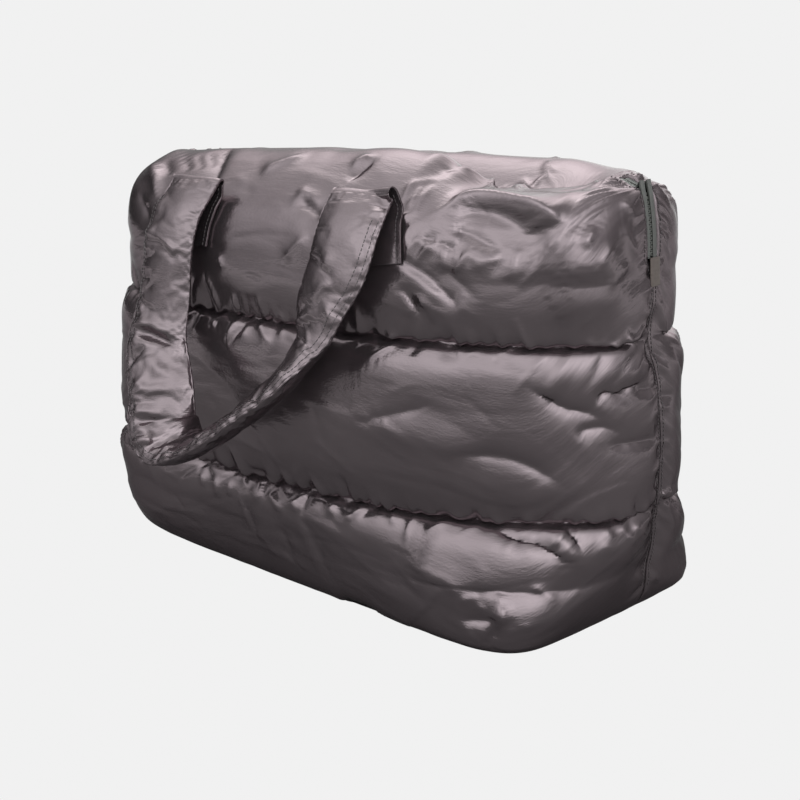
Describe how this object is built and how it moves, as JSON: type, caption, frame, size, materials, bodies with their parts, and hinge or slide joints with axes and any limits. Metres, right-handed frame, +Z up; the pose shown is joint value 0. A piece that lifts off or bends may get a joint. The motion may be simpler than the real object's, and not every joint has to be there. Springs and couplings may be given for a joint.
{
  "type": "puffer weekend bag",
  "caption": "Quilted puffer weekend bag, standing, with horizontal padded channels, a zip over the top and padded strap handles hanging at front and back.",
  "frame": {"origin": "middle of the base, on the surface the bag stands on", "axes": "+Z up, +X along the zip to the end that shows in the picture, the front panel faces -Y"},
  "size_m": [0.5439, 0.454, 0.383],
  "materials": {
    "shell": "satin",
    "zip_cloth": "matte",
    "zip_teeth": "satin",
    "zip_metal": "satin"
  },
  "bodies": {
    "root": {"front_panel": "shell", "back_panel": "shell", "handle_front": "shell", "handle_back": "shell", "zip_tape_front": "zip_cloth", "zip_tape_back": "zip_cloth", "zip_coil": "zip_teeth", "zip_slider": "zip_metal", "zip_end_right": "zip_cloth", "zip_end_left": "zip_cloth"}
  },
  "joints": []
}
